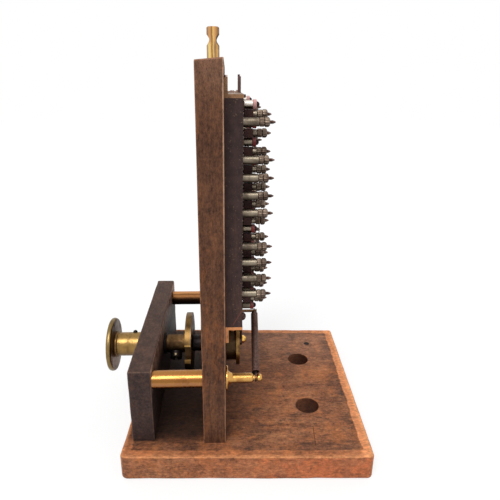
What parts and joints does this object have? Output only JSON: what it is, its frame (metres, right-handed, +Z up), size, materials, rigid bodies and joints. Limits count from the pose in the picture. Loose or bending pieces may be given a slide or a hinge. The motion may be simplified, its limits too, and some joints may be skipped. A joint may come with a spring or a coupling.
{
  "type": "signal box block switch",
  "caption": "Switch on a square base: a round knob turns a notched cam and a crank behind a tall board, lifting a contact slide between columns of terminals.",
  "frame": {"origin": "on the baseboard's underside, below the spindle, at the works' mid-plane", "axes": "+Z up, +X from the knob towards the terminals along the spindle, +Y across"},
  "size_m": [0.2851, 0.2552, 0.4155],
  "materials": {
    "base_wood": "worn varnish",
    "board_wood": "worn varnish",
    "face_wood": "worn varnish",
    "panel_black": "satin, dark insulating board",
    "brass": "bright, turned",
    "aged_brass": "tarnished",
    "copper_brass": "dull, reddish",
    "nickel": "tarnished nickel plate",
    "dark_steel": "blackened",
    "spring_steel": "browned wire",
    "red_fibre": "vulcanised fibre",
    "maroon_fibre": "insulating blocks"
  },
  "bodies": {
    "stand": {"baseboard": "base_wood", "base_screws": "aged_brass", "upright_board": "board_wood", "faceplate_board": "face_wood", "near_pillar": "brass", "far_pillar": "brass", "pillar_front_screws": "aged_brass", "far_pillar_bolt": "brass", "spring_post": "brass", "return_spring": "spring_steel", "eye_post": "brass", "front_bush": "dark_steel", "rear_bush": "dark_steel", "terminal_panel": "panel_black", "upper_angle": "copper_brass", "lower_angle": "copper_brass", "angle_wall_screws": "aged_brass", "angle_panel_screws": "copper_brass", "angle_edge_screws": "dark_steel", "angle_top_screws": "dark_steel", "slide_keeper": "dark_steel", "outer_pillars": "nickel", "outer_studs": "nickel", "outer_lock_nuts": "nickel", "outer_clamp_nuts": "nickel", "insulating_blocks": "maroon_fibre", "inner_collars": "nickel", "inner_studs": "nickel", "inner_lock_nuts": "nickel", "inner_clamp_nuts": "nickel", "contact_seats": "red_fibre", "contact_fingers": "brass", "contact_sleeves": "nickel", "fibre_washers": "red_fibre", "contact_bolts": "dark_steel", "jumper_wire": "brass"},
    "spindle": {"spindle": "dark_steel", "knob": "aged_brass", "knob_pin": "dark_steel", "cam_hub": "brass", "cam_disc": "brass", "cam_rivets": "aged_brass", "cam_clamp_screw": "dark_steel", "crank_boss": "aged_brass", "crank_disc": "brass", "crank_screws": "aged_brass", "crank_pin": "brass"},
    "slide": {"slide_bar": "dark_steel", "crank_link": "dark_steel", "link_screw": "dark_steel", "spring_stud": "copper_brass", "slide_cap": "dark_steel", "segment_pads": "maroon_fibre", "contact_segments": "brass"}
  },
  "joints": [
    {"name": "knob_turn", "type": "hinge", "parent": "stand", "child": "spindle", "pos_m": [0, 0, 0.0788], "axis": [1, 0, 0], "range_deg": [-40, 40]},
    {"name": "slide_lift", "type": "slide", "parent": "stand", "child": "slide", "axis": [0, 0, 1], "range_m": [-0.0045, 0.0045], "deforming": ["return_spring"]}
  ],
  "couplings": [
    {"joint": "slide_lift", "follows": "knob_turn", "m_per_rad": 0.0064451}
  ]
}
